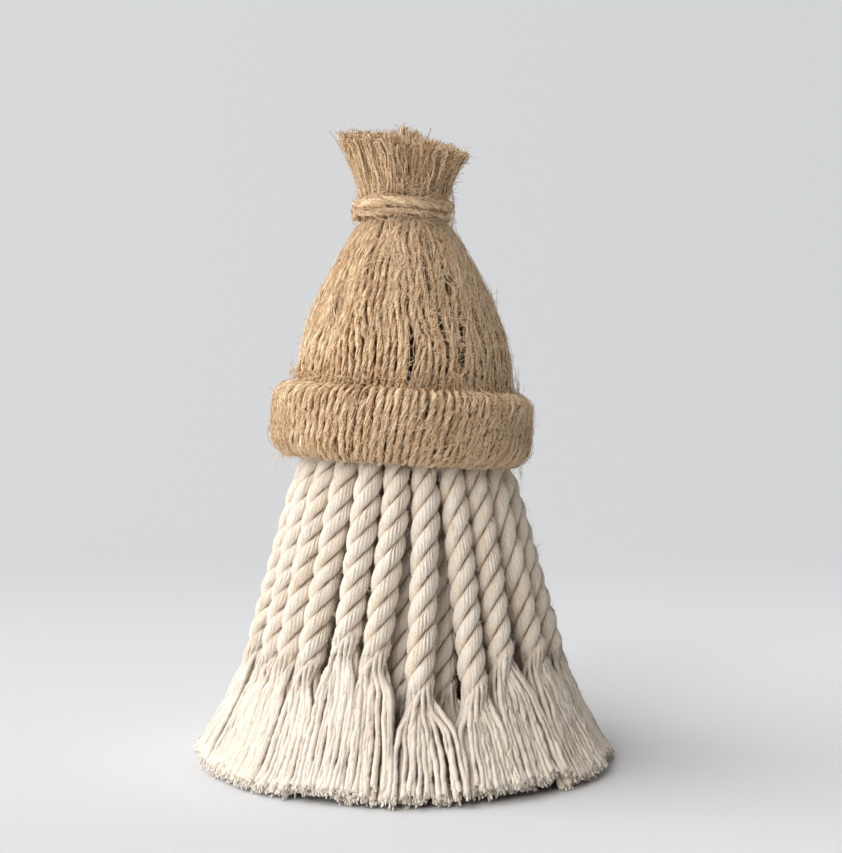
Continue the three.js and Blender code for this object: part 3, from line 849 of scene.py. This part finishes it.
def cut_tuft(path):
    """Slants the cut end of the tuft down to the right and the front. A lump stands up at its back."""
    share = smooth(neck_top_z, tuft_top_z, path[:, 2])
    x, y = path[:, 0], path[:, 1]
    rounded = 1.8 * smooth(11.5, 14.5, np.hypot(x, y))
    lump = 2.6 * np.exp(-((x - 0.5) ** 2 + (y - 5.0) ** 2) / 20)
    lowered = path.copy()
    slope = tuft_cut_slope * x
    steeper = 0.07 * np.maximum(x, 0)
    lowered[:, 2] += share * (0.6 - slope - steeper + tuft_front_slope * y - rounded + lump)
    return lowered


def tuft_locks(path, beside, rank, tint, rng):
    """The locks of fibre that a strand opens into above the tie, most of them for a strand on the outside."""
    out_side = np.cross(beside, up)
    s = length_along(path)
    opened = smooth(2, s[-1], s)
    parts = []
    for lock in range(locks_outside if rank < outer_rank else locks_inside):
        fine = lock >= thick_locks
        way = rng.uniform(0, 6.3) + wander(len(s), 0.5, 5, 0.5, rng)
        reach = math.sqrt(rng.uniform(0.05, 1.3))
        away = (0.5 + 0.5 * opened) * reach
        stray = wander(len(s), 0.5, 2.5, 0.18 + 0.17 * fine, rng)
        stray = stray + rng.normal(0, 0.04 + 0.13 * fine) * s
        points = path + (away * np.cos(way) + stray)[:, None] * beside
        points = points + (away * np.sin(way) + wander(len(s), 0.5, 4, 0.12, rng))[:, None] * out_side
        size = rng.uniform(0.06, 0.1) if fine else rng.uniform(0.19, 0.28) + 0.05 * opened
        size = np.broadcast_to(size, s.shape)
        kept = slice(0, len(s) - int(rng.integers(0, 3)))
        # Painted shade darkens the roots of the locks and the locks that lie further in.
        deep_shade = 0.3 * (1 - smooth(0, 5, s[kept]))[:, None] + 0.6 * (1.25 - reach)
        look = dict(twist=0.2, shade=deep_shade, ragged=0.35)
        shown = tint + rng.uniform(-1.4, 1.2)
        parts.append(round_tube(points[kept], beside[kept], size[kept], 3 if fine else 5, shown, rng, **look))
    return parts


rng = np.random.default_rng(97)
ranks = np.concatenate([rng.permutation(strands_per_band) for _ in range(bands)])
ranks = (ranks + rng.uniform(0.15, 0.85, strand_count)) / strands_per_band
angles = (np.arange(strand_count) - 3) * 2 * np.pi / strand_count
levels = np.linspace(brim_top_z, neck_z, 60)
shown = 2 * np.pi * (hat_outside(levels) - strand_radius) / (strand_spacing * strand_count)
share = 0.08 + 0.92 * smooth(-0.07, 0.07, shown[None] - ranks[:, None])
spread = 2 * np.pi * (np.cumsum(share, axis=0) - share / 2) / share.sum(axis=0)
spread += (angles[:, None] - spread).mean(axis=0)
for band in range(bands):
    parts = []
    for index in range(strands_per_band * band, strands_per_band * (band + 1)):
        rank = ranks[index]
        loose = looseness(angles[index])
        r, turn, z = strand_path(angles[index], spread[index], rank, rng)
        path = askew(cut_tuft(around(r, turn, z)))
        beside = around(1.0, turn + np.pi / 2, 0.0)
        # Painted shade: strands that lie deeper, the more so where they lie loosely, and the crease at the
        # foot of the crown are darkened.
        under = smooth(0.3, 1.6, neck_depth(np.clip(z, brim_top_z, neck_z), rank))
        crease_shade = 0.4 * (1 - smooth(0.5, 4, np.abs(z - brim_top_z - 0.4)))
        crease_shade = crease_shade * (np.hypot(path[:, 0], path[:, 1]) < 25.2)
        shade = np.maximum((0.12 + 0.3 * loose) * under, crease_shade)[:, None]
        tint = rng.uniform(-0.6, 0.6)
        spun = z < neck_top_z - 0.8
        pitch = rng.uniform(6.5, 9)
        thin = (0.1 + 0.1 * loose) * smooth(31, 40, length_along(path[spun]))
        thick = strand_radius - 0.03 - 0.06 * loose - thin
        parts += twine(path[spun], beside[spun], thick, pitch, tint, rng, shade[spun], bundles=8, loose=34)
        first = int(np.argmax(z > neck_top_z - 4))
        parts += tuft_locks(path[first:], beside[first:], rank, tint, rng)
    number = f"{band + 1:02d}"
    make_piece(f"hat_twine_{number}", parts, jute_material, [f"hat_strands_{number}"])

# Crown filling
# Loose brown jute fibre pressed into a lump above the bound cord tops. It keeps the crown round,
# and shows only as darkness between the strands.

# Matted fibre gives the eye an uneven dull brown, in tangles of about 2 mm
tow_material, tree = new_material("matted_jute_fibre")
place = add(tree, "ShaderNodeTexCoord").outputs["Object"]
mat = add(tree, "ShaderNodeTexNoise", {"Vector": place, "Scale": 600.0, "Detail": 5.0, "Distortion": 2.0})
tone = add(tree, "ShaderNodeValToRGB", {"Fac": mat.outputs["Fac"]}, [(0.3, "#5a3d24"), (0.75, "#a37a4e")])
fuzz = add(tree, "ShaderNodeBump", {"Height": mat.outputs["Fac"], "Strength": 0.9, "Distance": 0.0006})
shader = add(
    tree,
    "ShaderNodeBsdfPrincipled",
    {"Base Color": tone.outputs["Color"], "Roughness": 0.95, "Normal": fuzz.outputs["Normal"]},
)
add(tree, "ShaderNodeOutputMaterial", {"Surface": shader.outputs[0]})

rng = np.random.default_rng(7)
rise = np.linspace(0, 1, 40)
lump_z = 86.0 + 26.5 * rise
lump_shape = np.sqrt(np.clip(1 - (2 * rise - 1) ** 8, 0, 1))
lump_radius = (hat_outside(lump_z) - 3.4 - 3.6 * rise**2) * lump_shape
column = np.arange(72) * 2 * np.pi / 72
bumps = 0
for waves in range(2, 14):
    height = rng.normal(0, 0.3)
    start = waves * column[None] + rng.uniform(0, 6.3)
    bumps = bumps + height * np.cos(start + lump_z[:, None] * rng.uniform(0.1, 0.6))
size = np.maximum(lump_radius[:, None] + bumps * lump_shape[:, None], 0.05)
axis_points = np.stack([0 * lump_z, 0 * lump_z, lump_z], 1)
lump = tube(
    axis_points,
    np.tile([0.0, -1.0, 0.0], (40, 1)),
    np.tile([1.0, 0.0, 0.0], (40, 1)),
    size * np.cos(column),
    size * np.sin(column),
    np.zeros((40, 72, 3)),
    0.0,
)
filling = make_piece("crown_stuffing", [lump], tow_material, ["crown_filling"])

# Neck tie
# Jute twine pulled twice round the neck and knotted at the left. The upper turn is thick and loosely
# twisted, and the lower turn comes out from under it near the knot.

rng = np.random.default_rng(31)
knot_angle = math.radians(-84)
turn_share = np.linspace(0, 1, 170)
round_neck = knot_angle + turn_share * 2 * np.pi
climb = 0.75 * np.sin(np.pi * np.clip(turn_share * 4, 0, 1) / 2)
upper_z = 122.55 + climb - 0.75 + 0.35 * np.cos(2 * np.pi * turn_share)
upper = around(9.72 + 0.15 * np.sin(2 * np.pi * turn_share), round_neck, upper_z)
lower_z = 120.5 - 0.5 * np.sin(np.pi * turn_share) + 0.35 * np.sin(2 * np.pi * turn_share + 0.6)
lower = around(9.5 + 0 * turn_share, round_neck, lower_z)
tie = twine(upper, up, 1.3, 40.0, 0.8, rng, bundles=16, loose=120)
tie += twine(lower, up, 0.95, 30.0, 0.2, rng, bundles=12, loose=70)
t = np.linspace(-0.3, 2 * np.pi - 0.5, 120)
loop_a = 0.56 * (np.sin(t) + 2 * np.sin(2 * t))
loop_b = 0.56 * (np.cos(t) - 2 * np.cos(2 * t))
loop_c = -0.7 * np.sin(3 * t)
knot_middle = around(10.2, knot_angle, 121.3)
out_way = around(1.0, knot_angle, 0.0)
right_way = around(1.0, knot_angle + np.pi / 2, 0.0)
knot = knot_middle + loop_a[:, None] * right_way + loop_b[:, None] * up + loop_c[:, None] * out_way
tie += twine(knot, out_way, 0.75, 12.0, 0.4, rng, bundles=8, loose=12)
make_piece("neck_twine", tie, jute_material, ["neck_tie"])

# Loose jute fibres
# Stiff single fibres that have worked out of the twine. Most of them stand off the right side of the hat,
# and a brush of short ones makes the cut end of the tuft uneven.

lying_hairs = 1100
standing_hairs = 1300
brush_hairs = 2200
tuft_hairs = 900
crease_hairs = 420
neck_hairs = 420
hem_hairs = 70


def hat_surface(z):
    """Outside of the whole hat, brim included."""
    low = np.clip((z - brim_bottom_z) / 5, 0, 1)
    high = np.clip((brim_top_z - z) / 5, 0, 1)
    corner = min(np.sqrt(np.clip(1 - (1 - edge) ** 2, 0, 1)) for edge in (low, high))
    brim = 23.72 + 5 * corner
    return float(np.where(z < brim_top_z, brim, hat_outside(z)))


def tie_surface(z):
    """Outside of the neck with its tie."""
    return float(max(hat_outside(z), 10.9 - 0.35 * max(0.0, abs(z - 121.6) - 2) ** 2))


rng = np.random.default_rng(12)
fuzz_parts = []
for kind, count in (("lying", lying_hairs), ("standing", standing_hairs)):
    for _ in range(count):
        z = rng.choice([rng.uniform(67.5, 82), rng.uniform(82, 118), rng.uniform(84, 128)])
        angle = rng.normal(0.7, 0.55) if rng.random() < 0.6 else rng.uniform(-np.pi, np.pi)
        start = around(hat_surface(z) - 0.1, angle, z)
        out = around(1.0, angle, 0.0)
        beside = around(1.0, angle + np.pi / 2, 0.0)
        tilt = rng.normal(0, 1.2) + np.pi * (rng.random() < 0.5)
        heading = np.cos(tilt) * up + np.sin(tilt) * beside
        if kind == "lying":
            heading += rng.uniform(0.0, 0.2) * out
            curl = rng.normal(0, 0.1, 3) - 0.03 * out
            size = (rng.uniform(3, 13), rng.uniform(0.045, 0.085), rng, rng.uniform(0, 3), hat_surface, 0.6)
        else:
            heading += rng.uniform(0.1, 0.8) * out
            curl = rng.normal(0, 0.3, 3) - 0.12 * out
            size = (rng.uniform(1.2, 4), rng.uniform(0.04, 0.065), rng, rng.uniform(-1, 1.5), hat_surface)
        fuzz_parts.append(hair(start, heading, curl, *size))
for part in fuzz_parts:
    part[0][:] = askew(part[0])
for _ in range(brush_hairs):
    angle = rng.uniform(-np.pi, np.pi)
    radius = 14.0 * np.sqrt(rng.uniform(0.02, 1))
    start = cut_tuft(around(radius, angle, np.array([tuft_top_z])))[0] - rng.uniform(0.6, 2.6) * up
    heading = np.array([start[0] * 0.035, start[1] * 0.035, 0.7]) + rng.normal(0, 0.5, 3)
    size = (rng.uniform(0.9, 2.2), rng.uniform(0.045, 0.08), rng, rng.uniform(-2, 1.5))
    fuzz_parts.append(hair(start, heading, rng.normal(0, 0.5, 3), *size))
for _ in range(tuft_hairs):
    angle = rng.uniform(-np.pi, np.pi)
    height = rng.uniform(neck_top_z, tuft_top_z - 0.5)
    start = cut_tuft(around(hat_outside(height) - rng.uniform(0, 0.8), angle, np.array([height])))[0]
    tilt = rng.normal(0, 0.5)
    heading = around(0.3, angle, np.cos(tilt)) + around(np.sin(tilt), angle + np.pi / 2, 0.0)
    size = (rng.uniform(1.2, 4.5), rng.uniform(0.04, 0.07), rng, rng.uniform(-1.5, 2))
    fuzz_parts.append(hair(start, heading, rng.normal(0, 0.3, 3), *size))
for _ in range(crease_hairs):
    angle = rng.uniform(-np.pi, np.pi)
    start = around(rng.uniform(23.6, 26), angle, rng.uniform(82.6, 84.6))
    heading = around(rng.normal(0.2, 0.3), angle, 0.0) + around(rng.normal(0, 1), angle + np.pi / 2, 0.0)
    heading[2] = rng.normal(0.1, 0.45)
    curl = rng.normal(0, 0.2, 3)
    size = (rng.uniform(1.5, 8), 0.06, rng, rng.uniform(-1.5, 2), hat_outside, 1.4)
    part = hair(start, heading, curl, *size)
    part[0][:] = askew(part[0])
    fuzz_parts.append(part)
for _ in range(neck_hairs):
    angle = rng.normal(0.4, 1.3)
    height = rng.uniform(116.5, 126.5)
    start = around(tie_surface(height), angle, height)
    heading = around(0.2, angle, 0.0) + around(rng.normal(0, 1), angle + np.pi / 2, rng.normal(0, 0.8))
    size = (rng.uniform(1.5, 6), rng.uniform(0.04, 0.065), rng, rng.uniform(-1.5, 2.5), tie_surface, 0.7)
    fuzz_parts.append(hair(start, heading, rng.normal(0, 0.25, 3), *size))
for _ in range(hem_hairs):
    angle = rng.uniform(-np.pi, np.pi)
    start = around(rng.uniform(24.5, 28.2), angle, 67.0)
    heading = around(0.5, angle + rng.normal(0, 1), -1.0)
    part = hair(start, heading, rng.normal(0, 0.15, 3), rng.uniform(1.5, 5), 0.06, rng, rng.uniform(0, 2))
    part[0][:] = askew(part[0])
    fuzz_parts.append(part)
make_piece("jute_fibres", fuzz_parts, jute_material, [])

# Cotton lint
# Soft fine fibres that stand off the cords, and a fluff of them at the ends of the fringe.

fringe_hairs = 600
cord_hairs = 1400
skirt_z = [4, 13, 22, 31, 44, 57, 66]
skirt_radius = [43.5, 40.3, 36.5, 33.8, 30.8, 27, 25.5]
rng = np.random.default_rng(44)
lint = []
for _ in range(fringe_hairs):
    angle = rng.uniform(-np.pi, np.pi)
    start = around(rng.uniform(41.6, 44.4), angle, rng.uniform(2.2, 5.5))
    heading = around(0.9, angle + rng.normal(0, 0.6), -1.0) + rng.normal(0, 0.15, 3)
    # Painted light: the fluff at the fringe ends gets a lighter tint.
    lint.append(hair(start, heading, rng.normal(0, 0.25, 3), rng.uniform(0.8, 1.7), 0.035, rng, 2.0))
for _ in range(cord_hairs):
    angle = rng.uniform(-np.pi, np.pi)
    z = rng.uniform(6, 65)
    start = around(float(np.interp(z, skirt_z, skirt_radius)) - 0.6, angle, z)
    heading = around(rng.uniform(0.2, 1), angle + rng.normal(0, 0.8), rng.normal(0, 0.8))
    curl = rng.normal(0, 0.3, 3)
    lint.append(hair(start, heading, curl, rng.uniform(0.9, 2.6), 0.04, rng, rng.uniform(-1, 1)))
make_piece("cotton_lint", lint, cotton_material, [])

# Table and backdrop
# One pale matt sheet that runs under the ornament and curves up behind it.

bend = np.linspace(0, np.pi / 2, 14)
sweep_y = np.concatenate([[-1.2, 0.6], 0.6 + 0.5 * np.sin(bend), [1.1]])
sweep_z = np.concatenate([[0, 0], 0.5 * (1 - np.cos(bend)), [2.2]])
sheet_mesh = bpy.data.meshes.new("backdrop")
verts = [(x, y, z) for y, z in zip(sweep_y, sweep_z) for x in (-2.2, 2.2)]
faces = [(2 * i, 2 * i + 1, 2 * i + 3, 2 * i + 2) for i in range(len(sweep_y) - 1)]
sheet_mesh.from_pydata(verts, [], faces)
sheet_mesh.shade_smooth()
backdrop = bpy.data.objects.new("backdrop", sheet_mesh)
bpy.context.scene.collection.objects.link(backdrop)

# Matt paper gives the eye an even pale grey that keeps the shadows. Farther off the camera sees the sheet
# glow as a plain backdrop, with painted light that makes it a little lighter on the left than on the right.
paper_material, tree = new_material("pale_paper")
place = add(tree, "ShaderNodeTexCoord").outputs["Object"]
apart = add(tree, "ShaderNodeSeparateXYZ", {"Vector": place})
far = add(
    tree,
    "ShaderNodeMapRange",
    {"Value": apart.outputs["Y"], "From Min": 0.03, "From Max": 0.42},
    interpolation_type="SMOOTHSTEP",
)
distance = add(tree, "ShaderNodeVectorMath", {0: place}, operation="LENGTH")
rim = add(
    tree,
    "ShaderNodeMapRange",
    {"Value": distance.outputs["Value"], "From Min": 0.28, "From Max": 0.6},
    interpolation_type="SMOOTHSTEP",
)
plain = add(
    tree,
    "ShaderNodeMath",
    {0: far.outputs["Result"], 1: rim.outputs["Result"]},
    operation="MAXIMUM",
)
seen = add(tree, "ShaderNodeLightPath").outputs["Is Camera Ray"]
share = add(tree, "ShaderNodeMath", {0: plain.outputs[0], 1: seen}, operation="MULTIPLY")
behind = add(tree, "ShaderNodeMapRange", {"Value": apart.outputs["Y"], "From Min": -0.3, "From Max": 0.1})
aside = add(
    tree,
    "ShaderNodeMath",
    {0: apart.outputs["X"], 1: behind.outputs["Result"]},
    operation="MULTIPLY",
)
across = add(tree, "ShaderNodeMapRange", {"Value": aside.outputs[0], "From Min": -1.2, "From Max": 1.2})
painted_side_light = add(
    tree,
    "ShaderNodeValToRGB",
    {"Fac": across.outputs["Result"]},
    [(0.0, "#d5d7d9"), (1.0, "#d5d7d9"), (0.35, "#d9dadc"), (0.65, "#d2d4d6")],
)
paper = add(tree, "ShaderNodeBsdfDiffuse", {"Color": linear("#e6e8ea")})
glow = add(tree, "ShaderNodeEmission", {"Color": painted_side_light.outputs["Color"]})
shader = add(tree, "ShaderNodeMixShader", {0: share.outputs[0], 1: paper.outputs[0], 2: glow.outputs[0]})
add(tree, "ShaderNodeOutputMaterial", {"Surface": shader.outputs[0]})
sheet_mesh.materials.append(paper_material)

# Lights
# A wide soft light from the left is the main one. A smaller warm one from the front left opens the
# shadows, and a weak one from behind the right shoulder edges the far side. The surround adds a little.


def far_light(name, place, softness, power, code):
    """A lamp so far off that it lights the whole table evenly."""
    lamp = bpy.data.lights.new(name, "SUN")
    lamp.angle = math.radians(softness)
    lamp.energy = power
    lamp.color = linear(code)[:3]
    holder = bpy.data.objects.new(name, lamp)
    bpy.context.scene.collection.objects.link(holder)
    pitch = math.acos(place[2] / math.hypot(*place))
    holder.rotation_euler = (pitch, 0, math.atan2(-place[1], -place[0]) - math.pi / 2)


far_light("key_light", (-1.0, -0.36, 0.64), 92, 4.05, "#fdfdff")
far_light("fill_light", (-0.42, -0.9, 0.6), 25, 0.6, "#fff8f0")
far_light("back_light", (0.8, 1.0, 0.5), 50, 0.4, "#fff8f0")
world = bpy.data.worlds.new("surround")
bpy.context.scene.world = world
world.use_nodes = True
tree = world.node_tree
tree.nodes.clear()
glow = add(tree, "ShaderNodeBackground", {"Color": linear("#f4e8dc"), "Strength": 0.1})
plain = add(tree, "ShaderNodeBackground", {"Color": linear("#d5d7d9"), "Strength": 1.0})
seen = add(tree, "ShaderNodeLightPath").outputs["Is Camera Ray"]
shader = add(tree, "ShaderNodeMixShader", {0: seen, 1: glow.outputs[0], 2: plain.outputs[0]})
add(tree, "ShaderNodeOutputWorld", {"Surface": shader.outputs[0]})
bpy.context.scene.view_settings.view_transform = "Standard"

# Camera
# The photograph's place: 361 mm in front of the axis and 84.6 mm above the table, looking 1.7 degrees
# down and 0.6 degrees to the right. The photograph is 842 by 853 pixels. Lengths are in metres here.

eye_distance = 0.361
eye_height = 0.0846
look_down = 1.707
look_right = 0.6
focal_pixels = 1627
photo_height = 853
lens = bpy.data.cameras.new("camera")
lens.sensor_width = 36
lens.lens = lens.sensor_width * focal_pixels / photo_height
lens.clip_start = 0.02
camera = bpy.data.objects.new("camera", lens)
camera.location = (0, -eye_distance, eye_height)
camera.rotation_euler = (math.radians(90 - look_down), 0, math.radians(-look_right))
bpy.context.scene.collection.objects.link(camera)
bpy.context.scene.camera = camera
